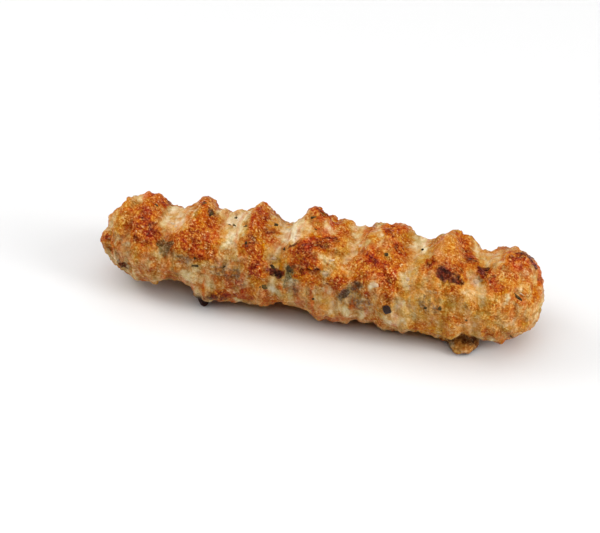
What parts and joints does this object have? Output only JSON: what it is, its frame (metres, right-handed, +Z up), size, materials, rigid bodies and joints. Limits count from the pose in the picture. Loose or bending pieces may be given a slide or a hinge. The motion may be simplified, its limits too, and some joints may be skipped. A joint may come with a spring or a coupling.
{
  "type": "chicken lula kebab",
  "caption": "Grilled minced-chicken kebab off its skewer: a long uneven bar with finger ridges and scoops across its top.",
  "frame": {"origin": "centre of the bounding box's base, on the surface that the kebab lies on", "axes": "+X along the kebab's length, +Y across it towards the back, +Z up; the front, -Y, is the side that faces the viewer"},
  "size_m": [0.1912, 0.049, 0.045],
  "materials": {
    "grilled_mince": "grilled chicken mince, golden to brown on its rises and pale in its scoops, with a thin oily shine"
  },
  "bodies": {
    "root": {"kebab": "grilled_mince"}
  },
  "joints": []
}
